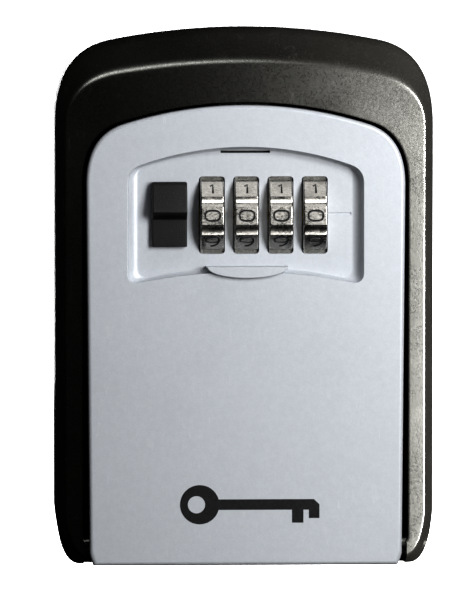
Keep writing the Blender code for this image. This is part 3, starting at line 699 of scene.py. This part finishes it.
def build_case():
    outer = [(f, case_outline(side, top, feet)) for f, side, top, feet in case_stations()]
    inner = [(CASE_FRONT - depth, opening_outline(inset)) for depth, inset in OPENING_EDGE]
    inner += [
        (LIP_BACK, opening_outline(0.0)),
        (CASE_BACK_WALL + 0.8, opening_outline(0.28)),
        (CASE_BACK_WALL + 0.2, opening_outline(0.5)),
        (CASE_BACK_WALL, opening_outline(1.1)),
    ]
    case = loft(rings_of(outer + inner))
    between_legs = (-LEG_INSIDE, LEG_INSIDE)
    cut(
        case,
        block(between_legs, (CASE_FLOOR_FRONT - FLOOR_TRIM, FAR), (BELOW, CASE_FLOOR_TOP + 4.0)),
        block(*LATCH_POCKET),
        rod_x(PIN_HOLE_RADIUS, -FAR, FAR, PIN_F, PIN_Z),
    )
    for x, z in MOUNT_HOLES:
        cut(case, rod_f(MOUNT_HOLE_RADIUS, -5.0, CASE_BACK_WALL + 5.0, x, z))
    for side in (-1, 1):
        pocket = plate([(side * x, z) for x, z in BACK_POCKET], -5.0, BACK_POCKET_DEPTH)
        screw_x = side * STRIKE_SCREW_X
        thread = rod_f(SMALL_HOLE, LIP_BACK - 1.0, STRIKE_SCREW_DEPTH, screw_x, STRIKE_SCREW_Z, 24)
        cut(case, pocket, thread)
    return case


# ---------------------------------------------------------------- door

def door_casting():
    """The door's outside: a plate with a rounded front edge and the hinge barrel below."""
    rings = [(DOOR_RIM, door_outline(0.25)), (DOOR_RIM + 0.25, door_outline(0.0))]
    for i in range(7):
        angle = pi / 2 * i / 6
        inset = DOOR_EDGE * (1 - cos(angle))
        rings.append((DOOR_FRONT - DOOR_EDGE + DOOR_EDGE * sin(angle), door_outline(inset)))
    door = loft(rings_of(rings))
    barrel_back = PIN_F - BARREL_RADIUS
    behind = [(0.0, BELOW), (barrel_back, BELOW), (barrel_back, PIN_Z + 2.0), (0.0, PIN_Z + 5.0)]
    heel_drop = (PIN_Z - DOOR_BOTTOM) / BARREL_RADIUS
    heel = [(PIN_F, BELOW), (barrel_back - 1.0, BELOW), (barrel_back - 1.0, PIN_Z)]
    for i in range(25):
        angle = pi + (pi / 2) * i / 24
        drop = BARREL_RADIUS * sin(angle) * heel_drop
        heel.append((PIN_F + BARREL_RADIUS * cos(angle), PIN_Z + drop))
    return cut(door, bar(behind, -FAR, FAR), bar(heel, -FAR, FAR))


def window_hollow():
    """The sunken window, with walls that curve out of its floor and a thin lip."""
    depth = DOOR_FRONT - WINDOW_FLOOR
    sweep = []
    for i in range(WINDOW_STEPS + 1):
        t = i / WINDOW_STEPS
        inset = WINDOW_EDGE * (1 - sin(pi / 2 * t)) ** 1.15
        rise = depth * 0.93 * (1 - cos(pi / 2 * t)) ** 0.9
        sweep.append((WINDOW_FLOOR + rise, window_outline(inset)))
    for ahead, inset in ((-0.05, -0.06), (0.0, -0.16), (2.0, -0.3)):
        sweep.append((DOOR_FRONT + ahead, window_outline(inset)))
    return loft(rings_of(sweep))


def tray_hollow():
    """The key tray in the lower half, whose floor is rounded into its walls."""
    half = DOOR_FOOT_HALF_WIDTH - DOOR_WALL
    floor_edge = [(DOOR_SKIN_BACK, 0.0, 1.2), (0.8, 0.0, 1.2), (0.2, 0.25, 1.0), (0.0, 0.8, 0.6)]
    rings = []
    for behind, inset, corner in floor_edge:
        across = (inset - half, half - inset)
        upright = (TRAY_LOW + inset, MID_WALL[0] - inset)
        rings.append((DOOR_SKIN_BACK - behind, rounded(across, upright, corner)))
    return loft(rings_of(rings))


def door_blank():
    """The door casting with its window, mechanism chamber and key tray."""
    door = door_casting()
    chamber = plate(door_outline(DOOR_WALL, MID_WALL[1]), 0.0, WINDOW_FLOOR_BACK)
    attic = plate([(-18.0, 35.4), (18.0, 35.4), (14.0, 38.0), (-14.0, 38.0)], 20.0, DOOR_SKIN_BACK)
    return cut(door, window_hollow(), chamber, attic, tray_hollow())


def moon_outline(inset):
    """The half-moon ledge: flat on top and round below."""
    turns = [pi + pi * i / 40 for i in range(41)]
    half = MOON_HALF_WIDTH - inset
    height = MOON_HEIGHT - inset
    return [(MOON_X + half * cos(a), MOON_TOP - inset * 0.5 + height * sin(a)) for a in turns]


def build_moon():
    edge_back = MOON_FRONT - MOON_EDGE
    rings = [(WINDOW_FLOOR - 0.5, moon_outline(0.0)), (edge_back, moon_outline(0.0))]
    for i in range(1, 6):
        angle = pi / 2 * i / 5
        inset = MOON_EDGE * (1 - cos(angle))
        rings.append((edge_back + MOON_EDGE * sin(angle), moon_outline(inset)))
    return loft(rings_of(rings))


def lug_outline():
    """The lugs that carry the dial shaft, seen from the side."""
    high = AXIS_Z + 4.0
    low = AXIS_Z - 4.0
    skin = WINDOW_FLOOR_BACK + 0.7
    return [
        (skin, low), (skin, high), (LUG_BACK + 1.5, high), (LUG_BACK, high - 2.0),
        (LUG_BACK, low + 2.0), (LUG_BACK + 1.5, low),
    ]


def add_inner_walls(door):
    """Shaft lugs, spring ledges, guide ribs and screw bosses behind the window."""
    skin = WINDOW_FLOOR_BACK + 0.7
    join(door, bar(lug_outline(), *LEFT_LUG), bar(lug_outline(), *RIGHT_LUG))
    for side in (-1, 1):
        ledge_x = sorted((side * (SPRING_X - 2.3), side * (SPRING_X + 2.4)))
        rib_x = sorted((side * (BAR_HALF_LENGTH + 0.4), side * (BAR_HALF_LENGTH + 2.0)))
        join(door, block(ledge_x, (RIB_BACK, skin), (SPRING_SEAT - 1.8, SPRING_SEAT)))
        join(door, block(rib_x, (RIB_BACK, skin), (27.5, 34.0)))
    for x, z in COVER_SCREWS:
        join(door, rod_f(BOSS_RADIUS, DOOR_RIM, skin, x, z))


def cut_dial_slots(door):
    """A slot in the window's floor for each dial, and round room for it behind."""
    slot_z = (AXIS_Z - SLOT_HALF_HEIGHT, AXIS_Z + SLOT_HALF_HEIGHT)
    half = DIAL_HALF_WIDTH + SLOT_SIDE_GAP
    for x in DIAL_X:
        slot = rounded((x - half, x + half), slot_z, SLOT_CORNER)
        room = rod_x(DIAL_RADIUS + SLOT_RIM_GAP, x - half, x + half, AXIS_F, AXIS_Z, 96)
        cut(room, block((x - 9.0, x + 9.0), (WINDOW_FLOOR - 0.6, FAR), (0.0, 40.0)))
        cut(door, room, plate(slot, WINDOW_FLOOR_BACK - 1.0, DOOR_FRONT))


def build_door():
    """The door, with a near-black second material on the clip slot's walls as painted shade in that
    recess.
    """
    door = door_blank()
    join(door, build_moon())
    add_inner_walls(door)
    cut_dial_slots(door)
    clip_slot = block((-CLIP_SLOT_X, CLIP_SLOT_X), CLIP_SLOT_F, CLIP_SLOT_Z)
    for part in (door, clip_slot):
        part.data.materials.append(LOOKS["door_paint"])
        part.data.materials.append(INK_AND_SLOT_SHADE)
    # the clip slot's faces take the near-black material, as painted shade in that recess
    for face in clip_slot.data.polygons:
        face.material_index = 1
    stem_slot = (STEM_LOW - RELEASE_TRAVEL - 0.3, STEM_HIGH + 0.3)
    groove_x = (BUTTON_X + BUTTON_HALF_WIDTH + 0.3, GROOVE_END)
    hook = HOOK_HALF_WIDTH + 0.6
    gate_room = ((LEFT_LUG[1] + 0.1, DIAL_X[-1] + 5.2), (LUG_BACK, GATE_CLEAR), (8.0, 27.6))
    cut(
        door,
        block(*gate_room),
        block((BUTTON_X - 1.9, BUTTON_X + 1.9), (LUG_BACK, DOOR_FRONT), stem_slot),
        block((-hook, hook), (PLATE_BACK - 0.6, PLATE_FRONT + 0.7), (36.5, 44.0)),
        block(groove_x, (WINDOW_FLOOR - 0.3, DOOR_FRONT), GROOVE_Z),
        clip_slot,
        rod_x(SHAFT_HOLE, LEFT_LUG[0] + 0.6, RIGHT_LUG[1] + 4.0, AXIS_F, AXIS_Z),
        rod_x(PIN_HOLE_RADIUS, -FAR, FAR, PIN_F, PIN_Z),
    )
    for x, z in COVER_SCREWS:
        cut(door, rod_f(COVER_HOLE, 0.0, 22.0, x, z, 24))
    return door


# ---------------------------------------------------------------- digits and dials

def arc(cx, cy, rx, ry, start, end, steps=14):
    """Part of an ellipse, from one angle to another in degrees."""
    turns = [radians(start + (end - start) * i / steps) for i in range(steps + 1)]
    return [(cx + rx * cos(a), cy + ry * sin(a)) for a in turns]


def oval(cx, cy, rx, ry, power=0.72, steps=28):
    """A closed, slightly squared ring."""
    ring = []
    for i in range(steps):
        a = 2 * pi * i / steps
        u = abs(cos(a)) ** power * (1 if cos(a) >= 0 else -1)
        v = abs(sin(a)) ** power * (1 if sin(a) >= 0 else -1)
        ring.append((cx + rx * u, cy + ry * v))
    return ring


def digit_strokes():
    """Each digit as strokes in a box from -1 to 1, with True for a closed stroke."""
    three = arc(0.05, 0.5, 0.78, 0.5, 150, -90) + arc(0.05, -0.52, 0.88, 0.48, 90, -150)[1:]
    five = [(0.8, 1.0), (-0.7, 1.0), (-0.8, 0.12)] + arc(0.0, -0.4, 0.92, 0.6, 120, -150)
    return [
        [(oval(0.0, 0.0, 1.0, 1.0), True)],
        [([(-0.3, 0.62), (0.08, 1.0), (0.08, -1.0)], False)],
        [(arc(0.0, 0.45, 0.85, 0.55, 165, -35) + [(-0.9, -1.0), (0.9, -1.0)], False)],
        [(three, False)],
        [([(0.45, -1.0), (0.45, 1.0), (-0.9, -0.35), (0.95, -0.35)], False)],
        [(five, False)],
        [(oval(0.0, -0.42, 0.88, 0.56), True), (arc(0.2, -0.3, 1.08, 1.3, 180, 88), False)],
        [([(-0.9, 1.0), (0.9, 1.0), (-0.2, -1.0)], False)],
        [(oval(0.0, 0.5, 0.74, 0.48), True), (oval(0.0, -0.5, 0.9, 0.5), True)],
        [(oval(0.0, 0.42, 0.88, 0.56), True), (arc(-0.2, 0.3, 1.08, 1.3, 0, -92), False)],
    ]


def digit_cutter(x):
    """Round-ended tubes along all ten digits' strokes, on the ten flats of a dial."""
    curve = bpy.data.curves.new("strokes", "CURVE")
    curve.dimensions = "3D"
    curve.bevel_depth = DIGIT_STROKE
    curve.bevel_resolution = 2
    curve.use_fill_caps = True
    flat = DIAL_RADIUS * cos(FLAT_HALF_ANGLE) + 0.06
    for number, strokes in enumerate(digit_strokes()):
        angle = 2 * pi * number / DIGITS
        out = point(0.0, cos(angle), sin(angle))
        up = point(0.0, -sin(angle), cos(angle))
        centre = point(x, AXIS_F, AXIS_Z) + out * flat
        for stroke, closed in strokes:
            spline = curve.splines.new("POLY")
            spline.points.add(len(stroke) - 1)
            spline.use_cyclic_u = closed
            for place, (u, v) in zip(spline.points, stroke):
                across = Vector((u * DIGIT_HALF_WIDTH, 0.0, 0.0))
                place.co = (*(centre + across + up * v * DIGIT_HALF_HEIGHT), 1.0)
    holder = bpy.data.objects.new("strokes", curve)
    bpy.context.scene.collection.objects.link(holder)
    graph = bpy.context.evaluated_depsgraph_get()
    mesh = bpy.data.meshes.new_from_object(holder.evaluated_get(graph))
    bpy.data.objects.remove(holder)
    tool = bpy.data.objects.new("strokes", mesh)
    bpy.context.scene.collection.objects.link(tool)
    mesh.materials.clear()
    mesh.materials.append(LOOKS["dial_metal"])
    mesh.materials.append(INK_AND_SLOT_SHADE)
    for face in mesh.polygons:
        face.material_index = 1
    tool["self_crossing"] = True
    return tool


def dial_rim(steps=9):
    """The rim of a dial: ten flats that carry the digits, with a hollow between each two."""
    points = []
    pitch = 2 * pi / DIGITS
    for n in range(DIGITS):
        middle = n * pitch
        for side in (-1, 1):
            angle = middle + side * FLAT_HALF_ANGLE
            points.append((DIAL_RADIUS * cos(angle), DIAL_RADIUS * sin(angle)))
        for i in range(1, steps):
            t = i / steps
            angle = middle + FLAT_HALF_ANGLE + (pitch - 2 * FLAT_HALF_ANGLE) * t
            radius = DIAL_RADIUS - HOLLOW_DEPTH * sin(pi * t)
            points.append((radius * cos(angle), radius * sin(angle)))
    return points


def dial_bore(count):
    """The bore of a dial: a notch for each digit, drawn with as many points as the rim."""
    points = []
    for i in range(count):
        angle = 2 * pi * i / count
        near = abs((angle * 10 / (2 * pi) + 0.5) % 1.0 - 0.5) * 2 * pi / 10
        depth = BORE_NOTCH if near < 0.15 else 0.0
        points.append(((DIAL_BORE + depth) * cos(angle), (DIAL_BORE + depth) * sin(angle)))
    return points


def build_dial(x):
    rim = dial_rim()
    bore = dial_bore(len(rim))

    def ring(outline, at, scale=1.0):
        return [point(at, AXIS_F + scale * u, AXIS_Z + scale * v) for u, v in outline]

    half = DIAL_HALF_WIDTH
    edge = [(side, (DIAL_RADIUS - drop) / DIAL_RADIUS) for side, drop in SOFT_EDGE]
    rings = [ring(rim, x - half + side, scale) for side, scale in edge]
    rings += [ring(rim, x + half - side, scale) for side, scale in reversed(edge)]
    rings += [ring(bore, x + half), ring(bore, x - half)]
    dial = loft(rings, closed=True)
    dial.data.materials.append(LOOKS["dial_metal"])
    dial.data.materials.append(INK_AND_SLOT_SHADE)
    return cut(dial, digit_cutter(x))


# ---------------------------------------------------------------- release button

def button_side():
    """The button's side as (depth, height): a low flat, a step, and a wedge for the thumb."""
    low = BUTTON_LOW
    return [
        (30.9, low), (31.1, low + 0.08), (31.2, low + 0.3), (31.2, 16.7), (31.3, 17.05),
        (31.55, 17.35), (33.2, 18.0), (33.5, 18.2), (33.6, 18.5), (33.6, 18.8), (33.45, 19.3),
        (32.95, 21.0), (32.45, 22.6), (31.9, 24.3), (31.75, 24.75), (31.4, BUTTON_HIGH),
    ]


def build_button():
    floor = WINDOW_FLOOR + 0.3
    side = [(floor, BUTTON_LOW)] + button_side() + [(floor, BUTTON_HIGH)]
    middle = ((floor + 31.5) / 2, (BUTTON_LOW + BUTTON_HIGH) / 2)

    def ring(at, inset):
        drawn = []
        for f, z in side:
            pull_f = inset if f > floor + 0.2 else 0.0
            pull_z = inset if z < middle[1] else -inset
            edge = z in (BUTTON_LOW, BUTTON_HIGH)
            drawn.append(point(BUTTON_X + at, f - pull_f, z + (pull_z if edge else 0.0)))
        return drawn

    half = BUTTON_HALF_WIDTH
    rings = []
    for inset_x, inset in SOFT_EDGE:
        rings.append(ring(inset_x - half, inset))
    for inset_x, inset in reversed(SOFT_EDGE):
        rings.append(ring(half - inset_x, inset))
    button = loft(rings)
    stem_x = (BUTTON_X - STEM_HALF_WIDTH, BUTTON_X + STEM_HALF_WIDTH)
    join(button, block(stem_x, (PLATE_FRONT + 0.3, floor + 0.5), (STEM_LOW, STEM_HIGH)))
    return cut(button, rod_f(SMALL_HOLE, 20.0, 29.0, BUTTON_X, (STEM_LOW + STEM_HIGH) / 2, 24))


# ---------------------------------------------------------------- printed mark

def key_outline():
    """A plain key lying on its side, as a simple sign that the box is for keys."""
    outline = []
    for i in range(49):
        angle = KEY_HEAD_GAP + (2 * pi - 2 * KEY_HEAD_GAP) * i / 48
        outline.append((KEY_HEAD_X + KEY_HEAD_RADIUS * cos(angle), KEY_HEAD_RADIUS * sin(angle)))
    outline += [(KEY_BIT[0][0], -KEY_SHANK_HALF), *KEY_BIT, (KEY_BIT[-1][0], -KEY_SHANK_HALF)]
    return outline + [(KEY_TIP[0][0], -KEY_SHANK_HALF), *KEY_TIP]


def build_mark():
    x, z = MARK_PLACE
    outline = [(x + u, z + v) for u, v in key_outline()]
    blank = plate(outline, DOOR_FRONT, DOOR_FRONT + MARK_THICKNESS)
    eye = rod_f(KEY_EYE_RADIUS, DOOR_FRONT - 1.0, DOOR_FRONT + 1.0, x + KEY_EYE_X, z, 40)
    return cut(blank, eye)


# ---------------------------------------------------------------- the pieces

show(build_case(), "case_shell", "case_paint", "root", "case")
show(build_door(), "door_shell", "door_paint", "door", "door_panel", keep_materials=True)
show(build_button(), "release_thumb_piece", "button_black", "release", "release_button", smooth=40.0)
for number, x in enumerate(DIAL_X, 1):
    wheel = f"dial_wheel_{number}"
    dial = build_dial(x)
    show(dial, f"number_dial_{number}", "dial_metal", wheel, f"dial_{number}", keep_materials=True)
mark = build_mark()
show(mark, "key_mark", "button_black", "door", None)
mark.data.materials[0] = INK_AND_SLOT_SHADE

NODE_LOOKS = {
    "plated_steel": ["hinge_pin", "dial_shaft", "latch_plate"],
    # the strike plate takes the near-black steel as painted shade in the door gap
    "strike_shade_steel": ["strike_plate"],
    "screw_steel": ["strike_screw", "cover_screw", "detent_screw", "latch_screw"],
    "spring_steel": ["detent_spring", "shaft_clip", "latch_spring", "reset_spring"],
    "cover_plastic": ["door_back_cover"],
    "lever_plastic": ["reset_lever"],
    "sleeve_brass": ["code_sleeve"],
}
for slot, starts in NODE_LOOKS.items():
    for node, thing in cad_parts.items():
        if node.startswith(tuple(starts)):
            for material_slot in thing.material_slots:
                material_slot.material = LOOKS[slot]


# ---------------------------------------------------------------- floor, light and camera

FLOOR_LEVEL = CASE_BOTTOM - 40.0     # the box hangs above the floor, so that its door can open
FLOOR_RADIUS = 4200.0
WALL_CURVE = 800.0
WALL_HEIGHT = 4600.0


def cyclorama():
    """A pale round floor that curves up into a wall on every side."""
    profile = [(FLOOR_RADIUS * i / 6, 0.0) for i in range(1, 7)]
    for i in range(1, 17):
        angle = pi / 2 * i / 16
        profile.append((FLOOR_RADIUS + WALL_CURVE * sin(angle), WALL_CURVE * (1 - cos(angle))))
    profile.append((FLOOR_RADIUS + WALL_CURVE, WALL_HEIGHT))
    bm = bmesh.new()
    centre = bm.verts.new(point(0.0, 0.0, FLOOR_LEVEL) * MM)
    rows = []
    for i in range(96):
        turn = 2 * pi * i / 96
        row = [point(r * cos(turn), r * sin(turn), FLOOR_LEVEL + z) for r, z in profile]
        rows.append([bm.verts.new(place * MM) for place in row])
    for row, following in zip(rows, rows[1:] + rows[:1]):
        bm.faces.new((centre, row[0], following[0]))
        for i in range(len(profile) - 1):
            bm.faces.new((row[i], row[i + 1], following[i + 1], following[i]))
    bmesh.ops.recalc_face_normals(bm, faces=bm.faces)
    mesh = bpy.data.meshes.new("studio_floor")
    bm.to_mesh(mesh)
    bm.free()
    mesh.shade_smooth()
    floor = bpy.data.objects.new("studio_floor", mesh)
    bpy.context.scene.collection.objects.link(floor)
    look = Finish("look_studio_floor")
    paper = look.noise(0.4, 3.0, 0.6)
    color = look.blend(paper, (0.86, 0.86, 0.86), (0.88, 0.88, 0.88))
    look.feed(look.shader.inputs["Base Color"], color)
    look.feed(look.shader.inputs["Roughness"], look.span(paper, 0.3, 0.7, 0.7, 0.85))
    look.relief([(paper, 0.02)])
    mesh.materials.append(look.material)
    # the floor is seen, but sends no light back, so that the dark side of the case stays dark
    floor.visible_diffuse = False
    floor.visible_glossy = False
    floor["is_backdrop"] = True
    return floor


def softbox(name, place, target, size, power, receivers=None, spread=180.0):
    """A rectangular light in millimetres and watts, for all pieces or only for some."""
    light = bpy.data.lights.new(name, "AREA")
    light.shape = "RECTANGLE"
    light.size = size[0] * MM
    light.size_y = size[1] * MM
    light.energy = power
    light.spread = radians(spread)
    holder = bpy.data.objects.new(name, light)
    bpy.context.scene.collection.objects.link(holder)
    holder.location = point(*place) * MM
    aim = point(*target) * MM - holder.location
    holder.rotation_euler = aim.to_track_quat("-Z", "Y").to_euler()
    if receivers is not None:
        holder.light_linking.receiver_collection = receivers
    return holder


def lit(name, things):
    """A collection of the pieces that a light reaches."""
    group = bpy.data.collections.new(name)
    for thing in things:
        group.objects.link(thing)
    return group


floor = cyclorama()
pieces = list(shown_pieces())
backdrop = lit("backdrop_only", [floor])
dials = lit("dials_only", [piece for piece in pieces if piece.name.startswith("number_dial")])
case = lit("case_only", [piece for piece in pieces if piece.name == "case_shell"])
others = lit("all_but_case", [piece for piece in pieces if piece.name != "case_shell"])
door = lit("door_only", [piece for piece in pieces if piece.name == "door_shell"])

softbox("key_light", (165.0, 290.0, 95.0), (10.0, 30.0, 10.0), (120.0, 200.0), 1.45, others)
softbox("dial_sheen", (0.0, 400.0, 190.0), (4.0, 34.0, 18.0), (260.0, 300.0), 0.9, dials)
softbox("case_sheen", (160.0, 230.0, 0.0), (59.5, 31.0, 0.0), (24.0, 260.0), 0.95, case, 31.0)
softbox("ridge_strip", (-60.0, 200.0, 200.0), (-20.0, 30.0, 50.0), (130.0, 34.0), 0.5, case)
softbox("door_fill", (90.0, 330.0, -130.0), (6.0, 34.0, -50.0), (200.0, 90.0), 0.42, door)
softbox("fill_light", (0.0, 120.0, 330.0), (0.0, 30.0, 0.0), (300.0, 120.0), 0.15, others)
softbox("backdrop_light", (0.0, 0.0, 4200.0), (0.0, -1.0, 0.0), (5000.0, 5000.0), 1500.0, backdrop)
softbox("back_light", (20.0, -560.0, 60.0), (0.0, 0.0, 0.0), (240.0, 240.0), 1.6)

WORLD_STRENGTH = 0.006
world = bpy.data.worlds.new("studio")
world.use_nodes = True
sky = world.node_tree.nodes["Background"]
sky.inputs["Color"].default_value = (1.0, 1.0, 1.0, 1.0)
sky.inputs["Strength"].default_value = WORLD_STRENGTH
bpy.context.scene.world = world

AZIMUTH = radians(-2.5)
ELEVATION = radians(3.0)
DISTANCE = 1400.0
VIEW_HEIGHT = 132.5          # millimetres of the object's plane in the height of the frame
AIM = (-1.1, 16.0, -1.5)
SENSOR = 36.0
GAMMA = 0.75

camera_data = bpy.data.cameras.new("camera")
camera_data.sensor_width = SENSOR
camera_data.lens = SENSOR * DISTANCE / VIEW_HEIGHT
camera_data.clip_start = 0.05
camera_data.clip_end = 10.0
camera = bpy.data.objects.new("camera", camera_data)
bpy.context.scene.collection.objects.link(camera)
level = cos(ELEVATION)
back = Vector((sin(AZIMUTH) * level, -cos(AZIMUTH) * level, sin(ELEVATION)))
camera.location = (point(*AIM) + back * DISTANCE) * MM
camera.rotation_euler = (-back).to_track_quat("-Z", "Y").to_euler()
bpy.context.scene.camera = camera
bpy.context.scene.view_settings.view_transform = "Standard"
bpy.context.scene.view_settings.gamma = GAMMA
